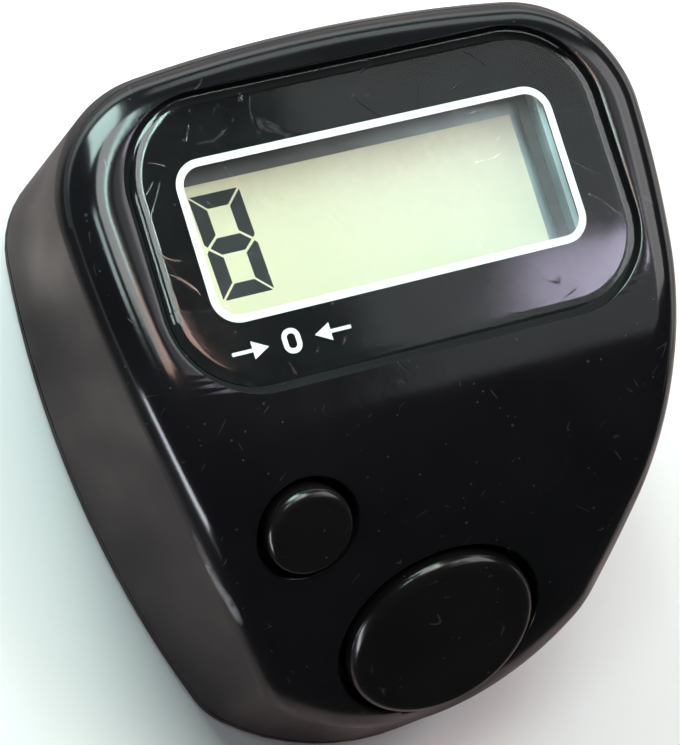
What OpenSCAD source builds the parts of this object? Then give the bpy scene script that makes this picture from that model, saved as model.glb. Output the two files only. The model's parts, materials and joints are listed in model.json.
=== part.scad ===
// Finger tally counter, an assembly of separate sub-parts.
// Millimetres. The back lies flat on Z = 0, +Y points to the display end, +X to the right of the face.
// The origin is the middle of the footprint, on the resting plane.

/* [Case] */
// Length of the case over its tip and its display end
case_length = 36; // [30:0.5:45]
// Height of the arched face over the resting plane
case_height = 20.2; // [18.5:0.1:24]
// Wall of the case
wall = 1.4; // [1.2:0.1:1.8]
// Rounding of the rim between face and wall
rim_r = 2.0; // [1.8:0.1:2.6]
// Thickness of the back cover, up to the parting line
back_t = 1.2; // [1.0:0.1:1.6]

/* [Outline] */
// Radius of the tip
tip_r = 13.15; // [12:0.05:15]
// Radius of the turn from tip to flank
hip_r = 4.0; // [3.6:0.1:6]
// Radius of the bowed flank
flank_r = 54.3; // [50:0.1:60]
// Radius of the display end
end_r = 78.7; // [60:0.1:95]
// Radius of the corners at the display end, at the face
corner_r = 6.42; // [5.5:0.02:7.5]
// Radius of the same corners at the base
base_corner_r = 4.93; // [4.4:0.01:6]
// How far the base reaches past the face at the tip
tip_lean = 0.9; // [0.2:0.1:1.5]
// How far the face reaches past the base at the display end
end_lean = 1.8; // [0.5:0.1:2.4]

/* [Arched face] */
// Place of the crest of the arch along the length
crest_y = 1.65; // [1.2:0.05:2]
// Radius of the arch between display and keys
arch_r = 15.1; // [14:0.1:17]
// Fall of the display towards the display end, in degrees
view_tilt = 8.1; // [6:0.1:10]
// Fall of the key slope towards the tip, in degrees
slope_tilt = 43; // [40:0.5:46]

/* [Display] */
// Place of the middle of the display along the length
view_y = 8.73; // [8.5:0.01:8.9]
// Width of the clear panel
lens_w = 24.84; // [24:0.02:25.2]
// Height of the clear panel
lens_h = 14.56; // [13.8:0.02:14.7]
// Corner radius of the clear panel
lens_corner = 4.4; // [3:0.1:5]
// Thickness of the clear panel
lens_t = 1.0; // [0.9:0.05:1.2]
// How far the clear panel stands over the face
lens_proud = 0.15; // [0:0.01:0.2]
// Groove round the clear panel
lens_gap = 0.22; // [0.15:0.01:0.3]
// Place of the clear panel and its seat across the face
lens_x = 0.18; // [0:0.02:0.2]
// Place of the clear panel and its seat along the face, from the middle of the display
lens_v = -0.12; // [-0.14:0.02:0]
// Width of the white window border over its outer edges
border_w = 20.2; // [19:0.1:20.6]
// Height of the white window border over its outer edges
border_h = 8.22; // [7.6:0.02:8.4]
// Place of the white window border across the face
border_x = 0.38; // [0:0.02:0.4]
// Place of the white window border along the face, from the middle of the display
border_v = 0.17; // [0:0.01:0.2]
// Width of the white line
border_line = 0.38; // [0.3:0.01:0.6]
// Outer corner radius of the white window border
border_corner = 1.4; // [1:0.05:2]
// Height of the liquid crystal figure
figure_h = 5.3; // [4:0.1:5.6]
// Width of the liquid crystal figure
figure_w = 2.65; // [2:0.05:3]

/* [Count key] */
// Place of the count key along the length
count_y = -12.47; // [-12.6:0.01:-12.3]
// Radius of the count key's cap
count_r = 5.1; // [4.8:0.05:5.2]
// Gap between the cap and its bore
count_gap = 0.4; // [0.3:0.05:0.5]
// How far the count key stands over the face
count_proud = 0.75; // [0.7:0.05:1.0]
// Travel of the count key
count_travel = 0.6; // [0.4:0.05:0.6]

/* [Reset key] */
// Place of the reset key across the width
reset_x = -7.53; // [-7.6:0.01:-7.4]
// Place of the reset key along the length
reset_y = -5.62; // [-5.8:0.01:-5.5]
// Radius of the reset key's cap
reset_r = 2.25; // [2:0.05:2.3]
// Gap between the cap and its bore
reset_gap = 0.4; // [0.3:0.05:0.5]
// How far the reset key stands over the face
reset_proud = 0.55; // [0.5:0.05:0.8]
// Travel of the reset key
reset_travel = 0.5; // [0.3:0.05:0.5]
// Tilt of the reset key, in degrees
reset_tilt = 28; // [26:0.5:30]

/* [Cell and door] */
// Radius of the button cell
cell_r = 5.8; // [5.7:0.05:5.9]
// Height of the button cell
cell_h = 3.05; // [2.9:0.05:3.2]
// Place of the cell along the length
cell_y = 4; // [3.9:0.05:4.1]
// Radius of the battery door
door_r = 6.8; // [6.7:0.05:6.9]
// Turn of the battery door from shut to open, in degrees
door_turn = 60; // [50:5:70]

/* [Hidden] */
$fn = 64;
over = 1;
seat_gap = 0.05;
fit_gap = 0.1;
eps_gap = 0.02;

// Shell outline
hip_to = 50.1;
hip_from = 27.4;
base_hip_from = 22.5;
face_tip = -case_length / 2 + tip_lean;
face_end = case_length / 2;
base_tip = -case_length / 2;
base_end = case_length / 2 - end_lean;
tip_steps = 7;
hip_steps = 4;
flank_steps = 16;
corner_steps = 9;
end_steps = 4;
rim_steps = 6;
part_gap = 0.12;
foot_r = 0.4;

// Display stack, as depths under the face
recess_d = 1.0;
pan_t = 1.0;
pan_wall = 1.0;
print_t = 0.05;
open_w = 21.2;
open_h = 9;
open_corner = 1.2;
lcd_gap = 0.05;
polarizer_t = 0.15;
glass_t = 0.55;
crystal_gap = 0.05;
glass_w = 20.4;
glass_h = 10.2;
ledge_h = 1.6;
film_side = 0.3;
film_end = 0.4;
film_w = glass_w - 2 * film_side;
film_h = glass_h - 2 * film_end;
bright_side = 0.6;
bright_lug = 0.85;
bright_foot = 1.68;
bright_head = 1.52;
bright_left = bright_side - glass_w / 2;
bright_right = glass_w / 2 - bright_lug;
bright_low = bright_foot - glass_h / 2;
bright_high = glass_h / 2 - bright_head;
seal_line = 0.5;
seal_gap = 0.125;
mask_edge = 0.25;
mask_top = lens_proud - lens_t;
tape_top = mask_top - print_t;
pan_top = -recess_d;
pan_bottom = pan_top - pan_t;
lcd_top = pan_bottom - lcd_gap;
front_top = lcd_top - polarizer_t;
ink_top = front_top - glass_t;
rear_top = ink_top - crystal_gap;
bright_top = rear_top - glass_t;
bright_bottom = bright_top - polarizer_t;
rear_low = -glass_h / 2 + ledge_h;

// Liquid crystal figure
figure_side = 3.05;
figure_x = figure_side - glass_w / 2;
figure_v = 0.25;
figure_bar = 0.72;
figure_mid = 0.42;
figure_cut = 0.08;
figure_tip = 0.25;
figure_lean = 2.6;

// Printed sign under the window: a zero between two arrows
sign_x = -6.35;
sign_v = -5.35;
sign_h = 1.25;
sign_w = 6.2;
zero_w = 0.95;
sign_line = 0.26;
arrow_w = 1.9;
arrow_head = 0.72;

// Liquid crystal holder, contact strip and main board
board_top = -5.6;
board_t = 0.8;
board_bottom = board_top - board_t;
board_side = 3;
board_foot = 1.2;
board_head = 0.9;
board_w = glass_w + 2 * board_side;
board_low = -glass_h / 2 - board_foot;
board_high = glass_h / 2 + board_head;
board_corner = 3.5;
holder_side = 0.7;
holder_end = 0.65;
holder_w = glass_w + 2 * holder_side;
holder_h = glass_h + 2 * holder_end;
pocket_gap = 0.1;
light_side = 1.4;
light_foot = 2.1;
light_head = 2.1;
light_w = glass_w - 2 * light_side;
light_low = light_foot - glass_h / 2;
light_high = glass_h / 2 - light_head;
strip_side = 1.2;
strip_w = glass_w - 2 * strip_side;
strip_t = 1.3;
screw_side = 2;
screw_x = glass_w / 2 + screw_side;
screw_v = glass_h / 3;
board_boss_r = 1.12;
small_shaft_r = 0.5;
small_head_r = 1.0;
small_head_t = 0.6;
small_len = 2.8;
thread_gap = 0.05;
slot_share = 0.7;
slot_line = 0.3;
slot_d = 0.3;

// Pieces on the main board
blob_x = 2.2;
blob_v = 0.6;
blob_r = 3.2;
blob_h = 1.2;
can_x = -8.6;
can_v = -3.8;
can_r = 1.0;
can_len = 5.2;
chip_w = 1.6;
chip_h = 0.85;
chip_t = 0.7;
chip_pitch = 2.2;
capacitor_x = -3.6;
capacitor_v = 4.7;
resistor_x = 6.6;
resistor_v = -1.2;
bead = 0.3;

// Key caps, in the frame of each key
cap_t = 1.0;
cap_wall = 0.8;
cap_edge = 0.3;
flange_t = 0.6;
flange_r = 5.95;
flange_cut = -3.4;
flange_top = -wall - fit_gap;
stem_r = 1.0;
reset_edge = 0.2;
reset_flange_r = 2.95;
reset_flange_t = 0.5;
reset_flange_drop = 0.4;
reset_stem_r = 0.8;
bore_edge = 0.15;

// Key switches, in the frame of each key
press_gap = 0.05;
count_press = -4.4;
count_cover = count_press - count_travel - press_gap;
count_side = 5;
count_body_t = 1.8;
count_plunger_r = 0.9;
count_well_r = 1.75;
reset_press = -3.9;
reset_cover = reset_press - reset_travel - press_gap;
reset_side = 4;
reset_body_t = 1.6;
reset_plunger_r = 0.7;
reset_well_r = 1.5;
cover_t = 0.2;
switch_floor = 0.4;
disc_t = 0.1;
plunger_flange = 0.35;
plunger_flange_t = 0.3;
plunger_tail = 0.2;
lead_w = 0.6;
lead_t = 0.2;
lead_len = 0.7;
key_board_t = 0.8;
count_board_w = 8.4;
count_board_h = 7.0;
reset_board_w = 6.0;
reset_board_h = 5.8;
count_board_top = count_cover - cover_t - count_body_t;
reset_board_top = reset_cover - cover_t - reset_body_t;
count_seat = count_board_top - key_board_t;
reset_seat = reset_board_top - key_board_t;
pin_r = 0.4;
pin_gap = 0.05;
pin_head = 0.2;
count_pin_x = 3.6;
reset_pin_v = 2.4;
reset_pin_x = -2.4;

// Key frame
count_wedge_w = 9.2;
count_wedge_h = 7.2;
count_wedge_floor = 4.0;
reset_wedge_w = 6.0;
reset_wedge_h = 5.8;
reset_wedge_core = 3.0;
core_wall = 1.2;
deck_low = 6.8;
deck_t = 1.2;
arm_in = 4.4;
arm_out = 9.6;
bar_low = -4.9;
bar_high = 0.2;
bar_w = 21;
foot_boss_r = 1.4;
foot_x = 8.6;
foot_in = 10.4;
foot_y = base_tip + foot_in;
arm_tip = foot_y - foot_boss_r;
foot_low = 5.0;
long_shaft_r = 0.65;
long_head_r = 1.2;
long_head_t = 0.8;
long_len = 5.4;

// Case screws and their bosses
case_boss_r = 1.7;
end_boss_x = 9.4;
end_boss_in = 6;
end_boss_y = face_end - end_boss_in;
tip_boss_x = 7.0;
tip_boss_in = 5.8;
tip_boss_y = base_tip + tip_boss_in;
end_boss_top = 11;
tip_boss_top = 8;
rib_t = 1.0;
rib_low = 3.2;
case_head_r = 1.3;
case_head_t = 0.6;
head_low = 0.1;
head_room = 0.15;
case_len = 6.0;
lip_t = 1.0;
lip_h = 1.6;

// Cell chamber and door
cell_low = 1.95;
door_low = 0.05;
door_top = 1.85;
pad_r = 5.6;
pad_top = 1.9;
hole_gap = 0.1;
lug_r = 7.75;
lug_low = 1.25;
lug_angle = 15;
lug_room = 0.25;
lug_slack = 4;
coin_w = 1.5;
coin_len = 9.4;
coin_d = 0.8;
seal_r = 0.14;
seal_z = 0.65;
seal_groove = 0.2;
chamber_gap = 0.3;
chamber_wall = 1.0;
ring_r = 8.6;
ring_top = 2.9;
chamber_roof = 5.6;
roof_t = 0.8;
can_wall = 0.3;
gasket_t = 0.3;
can_top = 2.75;
leaf_t = 0.2;
leaf_w = 3;
leaf_len = 8;
leaf_tab_top = 7.4;
leaf_nose_r = 1.0;
slot_gap = 0.15;
wire_r = 0.35;
wire_step = 1.0;
bend_swell = 0.1;
bend_cut = 0.2;
joint_len = 0.8;
wire_edge = 1.2;
count_wire_x = 3.2;
count_wire_shift = 1.6;
count_wire_low = case_height - 9;
count_wire_high = case_height - 8.4;
count_route = [[0, -5.4, count_wire_low], [0.8, -1, count_wire_high]];
reset_wire_x = -4.1;
reset_wire_v = 2.2;
reset_wire_high = case_height - 5.9;
reset_wire_mid = case_height - 7;
reset_wire_low = case_height - 7.9;
reset_routes = [
    [[-0.9, reset_wire_high], [0.9, reset_wire_low]],
    [[-2.6, reset_wire_mid], [0.9, reset_wire_low]]
];
leaf_wire_top = 9;
leaf_wire_shift = 0.5;
plus_wire_v = -4.6;
minus_wire_v = -3.6;

// Points of an arc about c from angle a to angle b
function unit(a) = [cos(a), sin(a)];
function arc(c, r, a, b, n) = [for (i = [0:n]) c + r * unit(a + (b - a) * i / n)];
function rest(p) = [for (i = [1:len(p) - 1]) p[i]];
function turn(v) = [v[1], -v[0]];
function angle_of(v) = atan2(v[1], v[0]);

// The crossing of two circles that lies on the +X side
function meet(c, r, d, s) =
    let (gap = norm(d - c), along = (gap * gap + r * r - s * s) / (2 * gap), dir = (d - c) / gap)
    let (side = sqrt(r * r - along * along) * turn(dir), mid = c + along * dir)
    mid[0] + side[0] > mid[0] - side[0] ? mid + side : mid - side;

// Right half of the outline from tip to display end, moved in by inset
function half_outline(tip, end, hip, corner, inset) =
    let (tip_c = [0, tip + tip_r])
    let (hip_c = tip_c + (tip_r - hip_r) * unit(-hip_to))
    let (flank_c = hip_c + (hip_r - flank_r) * unit(-hip))
    let (end_c = [0, end - end_r])
    let (corner_c = meet(end_c, end_r - corner, flank_c, flank_r - corner))
    let (flank_a = angle_of(corner_c - flank_c), end_a = angle_of(corner_c - end_c))
    concat(arc(tip_c, tip_r - inset, -90, -hip_to, tip_steps),
        rest(arc(hip_c, hip_r - inset, -hip_to, -hip, hip_steps)),
        rest(arc(flank_c, flank_r - inset, -hip, flank_a, flank_steps)),
        rest(arc(corner_c, corner - inset, flank_a, end_a, corner_steps)),
        rest(arc(end_c, end_r - inset, end_a, 90, end_steps)));
function face_half(inset) = half_outline(face_tip, face_end, hip_from, corner_r, inset);
function base_half(inset) = half_outline(base_tip, base_end, base_hip_from, base_corner_r, inset);
half_count = tip_steps + hip_steps + flank_steps + corner_steps + end_steps;
ring_count = 2 * half_count;

// Height of the arched face, moved in by inset
function face_z(y, inset = 0) =
    let (r = arch_r - inset, top = case_height - inset)
    let (high = crest_y + r * sin(view_tilt), low = crest_y - r * sin(slope_tilt))
    y > high ? top - r * (1 - cos(view_tilt)) - (y - high) * tan(view_tilt) :
    y < low ? top - r * (1 - cos(slope_tilt)) - (low - y) * tan(slope_tilt) :
    top - r + sqrt(r * r - (y - crest_y) * (y - crest_y));

// Closed rings of points, the left half mirrored from the right
function mirrored(half) = concat(half, [for (i = [half_count - 1:-1:1]) [-half[i][0], half[i][1], half[i][2]]]);
function wall_half(z, inset, rim) =
    let (f = face_half(inset), b = base_half(inset))
    [for (i = [0:half_count])
        let (s = z / (face_z(f[i][1], inset) - rim), p = b[i] + s * (f[i] - b[i])) [p[0], p[1], z]];
function rim_half(a, inset, rim) =
    [for (p = face_half(inset + rim * (1 - cos(a)))) [p[0], p[1], face_z(p[1], inset) - rim * (1 - sin(a))]];

// Faces of a loft of rings with a flat floor and an arched top made of strips across
function side_faces(k) = [for (j = [0:k - 2], i = [0:ring_count - 1]) let (n = (i + 1) % ring_count)
    [j * ring_count + i, (j + 1) * ring_count + i, (j + 1) * ring_count + n, j * ring_count + n]];
function floor_face() = [[for (i = [0:ring_count - 1]) i]];
function top_faces(a) = concat([[a, a + ring_count - 1, a + 1]],
    [for (i = [1:half_count - 2]) [a + i, a + ring_count - i, a + ring_count - i - 1, a + i + 1]],
    [[a + half_count - 1, a + half_count + 1, a + half_count]]);

module loft(rings) {
    last = len(rings) - 1;
    polyhedron(points = [for (r = rings, p = r) p],
        faces = concat(floor_face(), side_faces(last + 1), top_faces(last * ring_count)), convexity = 6);
}

// The ring of the tapering walls at height z, moved in by inset
function wall_ring(z, inset) = mirrored(wall_half(z, inset, rim_r));

// The arched body from height z up, moved in by inset, over any lower rings
module arched_body(z, inset, steps, lower = []) {
    rim = rim_r - inset;
    loft(concat(lower, [mirrored(wall_half(z, inset, rim))],
        [for (k = [0:steps]) mirrored(rim_half(90 * k / steps, inset, rim))]));
}

// A flat slice of the tapering walls between two heights
module slice(z_low, z_high, inset) {
    loft([wall_ring(z_low, inset), wall_ring(z_high, inset)]);
}

// Frames of the display and of the keys, with +Z along the outward normal
module at_view() {
    translate([0, view_y, face_z(view_y)]) rotate([-view_tilt, 0, 0]) children();
}
module at_count() {
    translate([0, count_y, face_z(count_y)]) rotate([slope_tilt, 0, 0]) children();
}
module at_reset() {
    translate([reset_x, reset_y, face_z(reset_y)]) rotate([reset_tilt, 0, 0]) children();
}
module lens_plate(w, h, r, z_low, z_high) {
    translate([lens_x, lens_v, 0]) round_plate(w, h, r, z_low, z_high);
}

// A point of the display frame or of a key frame, in the frame of the whole part
function from_view(p) = [p[0], view_y + p[1] * cos(view_tilt) + p[2] * sin(view_tilt),
    face_z(view_y) - p[1] * sin(view_tilt) + p[2] * cos(view_tilt)];
function from_key(o, tilt, p) = [o[0] + p[0], o[1] + p[1] * cos(tilt) - p[2] * sin(tilt),
    o[2] + p[1] * sin(tilt) + p[2] * cos(tilt)];
function from_count(p) = from_key([0, count_y, face_z(count_y)], slope_tilt, p);
function from_reset(p) = from_key([reset_x, reset_y, face_z(reset_y)], reset_tilt, p);

// A level plate with rounded corners from z_low to z_high
round_steps = 10;
function round_points(w, h, r) = concat(arc([w / 2 - r, h / 2 - r], r, 0, 90, round_steps),
    arc([r - w / 2, h / 2 - r], r, 90, 180, round_steps),
    arc([r - w / 2, r - h / 2], r, 180, 270, round_steps),
    arc([w / 2 - r, r - h / 2], r, 270, 360, round_steps));
module round_plate(w, h, r, z_low, z_high) {
    translate([0, 0, z_low]) linear_extrude(z_high - z_low) polygon(round_points(w, h, r));
}

// A box given by its least and greatest corners
module box(a, b) {
    translate(a) cube(b - a);
}

// A rod of radius r between two points, and a wire along a list of points
module rod(a, b, r) {
    d = b - a;
    translate(a) rotate([0, acos(d[2] / norm(d)), atan2(d[1], d[0])]) cylinder(r = r, h = norm(d), $fn = 20);
}
module wire(points, r) {
    last = len(points) - 1;
    for (i = [0:last - 1]) {
        d = (points[i + 1] - points[i]) / norm(points[i + 1] - points[i]) * bend_cut;
        rod(points[i] + (i > 0 ? d : 0 * d), points[i + 1] - (i < last - 1 ? d : 0 * d), r);
    }
    for (i = [1:last - 1]) translate(points[i]) sphere(r = r + bend_swell, $fn = 20);
}

// A cross slotted screw whose head stands on z = 0 and whose shaft runs up
module screw(head_r, head_t, shaft_r, length) {
    difference() {
        translate([0, 0, -head_t]) cylinder(r = head_r, h = head_t);
        for (a = [0, 90]) rotate([0, 0, a])
            box([-head_r * slot_share, -slot_line / 2, -head_t - over],
                [head_r * slot_share, slot_line / 2, -head_t + slot_d]);
    }
    cylinder(r = shaft_r, h = length);
}
module four(x, y) {
    for (sx = [-x, x], sy = [-y, y]) translate([sx, sy, 0]) children();
}
module case_screw_places() {
    for (s = [-1, 1]) {
        translate([s * end_boss_x, end_boss_y, 0]) children();
        translate([s * tip_boss_x, tip_boss_y, 0]) children();
    }
}

// Case
module case_boss(x, y, top) {
    translate([x, y, back_t + seat_gap]) cylinder(r = case_boss_r, h = top - back_t - seat_gap);
    box([x, y - rib_t / 2, rib_low], [case_length / 2, y + rib_t / 2, top]);
}
module case_bosses() {
    intersection() {
        arched_body(back_t, wall / 2, 2);
        for (s = [-1, 1]) side(s) {
            case_boss(end_boss_x, end_boss_y, end_boss_top);
            case_boss(tip_boss_x, tip_boss_y, tip_boss_top);
        }
    }
}
module side(s) {
    if (s < 0) mirror([1, 0, 0]) children();
    else children();
}
module display_pan() {
    pan_w = lens_w + 2 * lens_gap + 2 * pan_wall;
    pan_h = lens_h + 2 * lens_gap + 2 * pan_wall;
    intersection() {
        arched_body(back_t, wall / 2, 2);
        at_view() lens_plate(pan_w, pan_h, lens_corner + lens_gap + pan_wall, pan_bottom, over);
    }
    at_view() four(screw_x, screw_v)
        translate([0, 0, board_top]) cylinder(r = board_boss_r, h = pan_bottom + pan_t / 2 - board_top);
}
module key_bore(r, edge) {
    translate([0, 0, -wall * 2]) cylinder(r = r, h = wall * 6);
    translate([0, 0, -edge]) cylinder(r1 = r, r2 = r + 2 * edge, h = 2 * edge);
    translate([0, 0, edge]) cylinder(r = r + 2 * edge, h = wall * 3);
}
module top_shell() {
    color([0.05, 0.05, 0.06]) difference() {
        union() {
            difference() {
                arched_body(back_t + part_gap, 0, rim_steps, [wall_ring(back_t, part_gap)]);
                arched_body(back_t - over, wall, 2);
            }
            display_pan();
            case_bosses();
        }
        at_view() lens_plate(lens_w + 2 * lens_gap, lens_h + 2 * lens_gap, lens_corner + lens_gap,
            pan_top, 3 * over);
        at_view() round_plate(open_w, open_h, open_corner, pan_bottom - over, over);
        at_view() four(screw_x, screw_v)
            translate([0, 0, board_top - over]) cylinder(r = small_shaft_r + thread_gap, h = over + small_len);
        at_count() key_bore(count_r + count_gap, bore_edge);
        at_reset() key_bore(reset_r + reset_gap, bore_edge);
        case_screw_places()
            cylinder(r = long_shaft_r + thread_gap, h = head_low + case_head_t + case_len + fit_gap);
    }
}
module back_cover() {
    hole_r = door_r + hole_gap;
    roof_in = cell_r + chamber_gap;
    color([0.06, 0.06, 0.07]) difference() {
        union() {
            loft([wall_ring(0, foot_r), wall_ring(foot_r, 0),
                wall_ring(back_t - part_gap, 0), wall_ring(back_t, part_gap)]);
            difference() {
                slice(foot_r, back_t + lip_h, wall + fit_gap);
                slice(foot_r - over, back_t + lip_h + over, wall + fit_gap + lip_t);
                case_screw_places() cylinder(r = case_boss_r + head_room, h = back_t + lip_h + over);
            }
            translate([0, cell_y, foot_r]) cylinder(r = ring_r, h = ring_top - foot_r);
            translate([0, cell_y, foot_r])
                cylinder(r = roof_in + chamber_wall, h = chamber_roof + roof_t - foot_r);
            for (s = [-1, 1]) translate([s * foot_x, foot_y, foot_r])
                cylinder(r = foot_boss_r, h = foot_low - foot_r);
        }
        translate([0, cell_y, -over]) cylinder(r = hole_r, h = back_t + over + fit_gap);
        translate([0, cell_y, back_t]) cylinder(r = lug_r + lug_room, h = cell_low - back_t);
        translate([0, cell_y, back_t]) cylinder(r = roof_in, h = chamber_roof - back_t);
        lug_sectors(lug_r + lug_room - fit_gap, -over, back_t + fit_gap, lug_angle + lug_slack, door_turn);
        translate([0, cell_y, 0]) box([cell_r - slot_gap, -leaf_w / 2 - slot_gap, ring_top],
            [roof_in + chamber_wall - can_wall, leaf_w / 2 + slot_gap, chamber_roof + roof_t + over]);
        translate([0, cell_y, 0])
            box([-leaf_len / 2 - slot_gap - leaf_t, -leaf_w / 2 - slot_gap, chamber_roof - over],
                [-leaf_len / 2 + slot_gap, leaf_w / 2 + slot_gap, chamber_roof + roof_t + over]);
        case_screw_places() {
            translate([0, 0, -over]) cylinder(r = case_head_r + head_room, h = over + head_low + case_head_t);
            cylinder(r = long_shaft_r + 2 * fit_gap, h = back_t + over);
        }
        for (s = [-1, 1]) translate([s * foot_x, foot_y, back_t])
            cylinder(r = long_shaft_r + thread_gap, h = foot_low);
    }
}

// Two opposite sectors of a ring about the cell's axis, turned by an angle
module lug_sectors(r, z_low, z_high, spread, turned) {
    for (s = [0, 180]) translate([0, cell_y, z_low]) rotate([0, 0, s + turned])
        linear_extrude(z_high - z_low)
            polygon(concat([(door_r - 2 * hole_gap) * unit(spread)], [(door_r - 2 * hole_gap) * unit(-spread)],
                arc([0, 0], r, -spread, spread, round_steps)));
}
module battery_door() {
    color([0.07, 0.07, 0.08]) difference() {
        union() {
            translate([0, cell_y, door_low]) cylinder(r = door_r, h = door_top - door_low);
            translate([0, cell_y, door_low]) cylinder(r = pad_r, h = pad_top - door_low);
            lug_sectors(lug_r, lug_low, door_top, lug_angle, 0);
        }
        translate([0, cell_y, 0])
            box([-coin_len / 2, -coin_w / 2, -over], [coin_len / 2, coin_w / 2, door_low + coin_d]);
        translate([0, cell_y, seal_z - seal_groove]) difference() {
            cylinder(r = door_r + over, h = 2 * seal_groove);
            translate([0, 0, -over])
                cylinder(r = door_r - 2 * seal_r - eps_gap, h = 2 * seal_groove + 2 * over);
        }
    }
}
module door_seal() {
    color([0.1, 0.1, 0.1]) translate([0, cell_y, seal_z])
        rotate_extrude() translate([door_r - seal_r + eps_gap, 0]) circle(r = seal_r, $fn = 24);
}

// Clear panel and its prints
module lens_panel() {
    color([0.75, 0.8, 0.8, 0.35]) at_view()
        lens_plate(lens_w, lens_h, lens_corner, mask_top, lens_proud);
}
module border_plate(inset, z_low, z_high) {
    translate([border_x, border_v, 0])
        round_plate(border_w - 2 * inset, border_h - 2 * inset, border_corner - inset, z_low, z_high);
}
module mask_plate(z_low, z_high) {
    lens_plate(lens_w - 2 * mask_edge, lens_h - 2 * mask_edge, lens_corner - mask_edge, z_low, z_high);
}
module lens_mask() {
    color([0.03, 0.03, 0.03]) at_view() difference() {
        mask_plate(tape_top, mask_top);
        border_plate(0, tape_top - over, mask_top + over);
        sign_shape(tape_top - over, mask_top + over);
    }
}
module window_border() {
    color([0.93, 0.93, 0.93]) at_view() difference() {
        border_plate(0, tape_top, mask_top);
        border_plate(border_line, tape_top - over, mask_top + over);
    }
}

// Two arrows that point at a zero
arrow_shares = [[0, -0.1], [0.56, -0.1], [0.56, -0.5], [1, 0], [0.56, 0.5], [0.56, 0.1], [0, 0.1]];
module sign_shape(z_low, z_high) {
    translate([sign_x, sign_v, z_low]) linear_extrude(z_high - z_low) {
        difference() {
            polygon(round_points(zero_w, sign_h, zero_w / 2 - eps_gap));
            polygon(round_points(zero_w - 2 * sign_line, sign_h - 2 * sign_line,
                zero_w / 2 - sign_line - eps_gap));
        }
        for (s = [-1, 1])
            polygon([for (p = arrow_shares) [s * (p[0] * arrow_w - sign_w / 2), p[1] * sign_h * arrow_head]]);
    }
}
module reset_sign() {
    color([0.93, 0.93, 0.93]) at_view() sign_shape(tape_top, mask_top);
}
module lens_tape() {
    color([0.08, 0.08, 0.08]) at_view() difference() {
        mask_plate(pan_top, tape_top);
        round_plate(open_w + 2 * mask_edge, open_h + 2 * mask_edge, open_corner + mask_edge,
            pan_top - over, over);
    }
}

// Liquid crystal cell
module lcd_front_polarizer() {
    color([0.6, 0.62, 0.58, 0.5]) at_view() translate([0, (glass_h - film_h) / 2 - pocket_gap, 0])
        box([-film_w / 2, -film_h / 2, front_top], [film_w / 2, film_h / 2, lcd_top]);
}
module lcd_front_glass() {
    color([0.7, 0.78, 0.76, 0.4]) at_view()
        box([-glass_w / 2, -glass_h / 2, ink_top], [glass_w / 2, glass_h / 2, front_top]);
}
module lcd_rear_glass() {
    color([0.7, 0.78, 0.76, 0.4]) at_view()
        box([-glass_w / 2, rear_low, bright_top], [glass_w / 2, glass_h / 2, rear_top]);
}
module lcd_seal() {
    color([0.35, 0.37, 0.36]) at_view() difference() {
        box([-glass_w / 2, rear_low, rear_top], [glass_w / 2, glass_h / 2, ink_top]);
        box([bright_left, bright_low + seal_gap, rear_top - over],
            [-bright_left, glass_h / 2 - seal_line, ink_top + over]);
    }
}
module lcd_reflector() {
    color([0.75, 0.78, 0.66]) at_view()
        box([bright_left, bright_low, bright_bottom], [bright_right, bright_high, bright_top]);
}

// The seven bars of the figure, with a narrow gap at each mitre
function leaned(points) = [for (p = points) [p[0] - p[1] * tan(figure_lean), p[1]]];
module lcd_segments() {
    w = figure_w / 2;
    h = figure_h / 2;
    inner_w = w - figure_bar;
    inner_h = h - figure_bar;
    color([0.16, 0.17, 0.18]) at_view() translate([figure_x, figure_v, rear_top]) linear_extrude(crystal_gap) {
        for (t = [-1, 1]) {
            polygon(leaned([[figure_cut - w, t * h], [w - figure_cut, t * h],
                [inner_w - figure_cut, t * inner_h], [figure_cut - inner_w, t * inner_h]]));
            for (s = [-1, 1])
                polygon(leaned([[s * w, t * (h - figure_cut)], [s * inner_w, t * (inner_h - figure_cut)],
                    [s * inner_w, t * (figure_mid + 2 * figure_cut)],
                    [s * (w - figure_tip / 2), t * figure_cut], [s * w, t * 3 * figure_cut]]));
        }
        polygon(leaned([[figure_tip - w, 0], [-inner_w, figure_mid], [inner_w, figure_mid],
            [w - figure_tip, 0], [inner_w, -figure_mid], [-inner_w, -figure_mid]]));
    }
}
module lcd_holder() {
    pocket_w = glass_w + 2 * pocket_gap;
    pocket_h = glass_h + 2 * pocket_gap;
    color([0.14, 0.15, 0.16]) at_view() difference() {
        box([-holder_w / 2, -holder_h / 2, board_top], [holder_w / 2, holder_h / 2, lcd_top]);
        box([-pocket_w / 2, -pocket_h / 2, bright_bottom], [pocket_w / 2, pocket_h / 2, lcd_top + over]);
        box([-light_w / 2, light_low, board_top - over], [light_w / 2, light_high, bright_bottom + over]);
        box([-strip_w / 2 - pocket_gap, -pocket_h / 2, board_top - over],
            [strip_w / 2 + pocket_gap, rear_low - pocket_gap, bright_bottom + over]);
    }
}
module zebra_strip() {
    strip_v = -glass_h / 2 + strip_t / 2 + pocket_gap;
    color([0.12, 0.12, 0.13]) at_view()
        box([-strip_w / 2, strip_v - strip_t / 2, board_top], [strip_w / 2, strip_v + strip_t / 2, ink_top]);
}

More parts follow.
